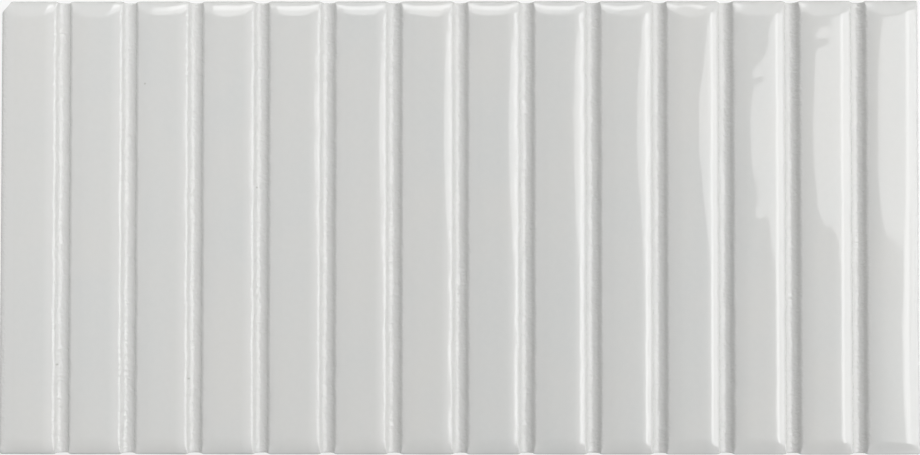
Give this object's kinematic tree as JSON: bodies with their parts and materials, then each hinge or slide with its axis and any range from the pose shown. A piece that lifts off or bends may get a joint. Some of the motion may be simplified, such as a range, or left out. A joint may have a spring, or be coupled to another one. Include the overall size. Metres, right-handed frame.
{
  "type": "ceramic mosaic tile",
  "caption": "Oblong glazed ceramic wall tile in one piece, its face pressed into parallel raised bars with round-bottomed grooves, for facing walls in a mosaic of strips.",
  "frame": {"origin": "centre of the tile's back, where it rests", "axes": "+X across the bars along the tile's long side, +Y along the bars, +Z out of the glazed face"},
  "size_m": [0.25, 0.1234, 0.0105],
  "materials": {
    "glaze": "pale grey gloss glaze"
  },
  "bodies": {
    "root": {"ribbed_tile": "glaze"}
  },
  "joints": []
}
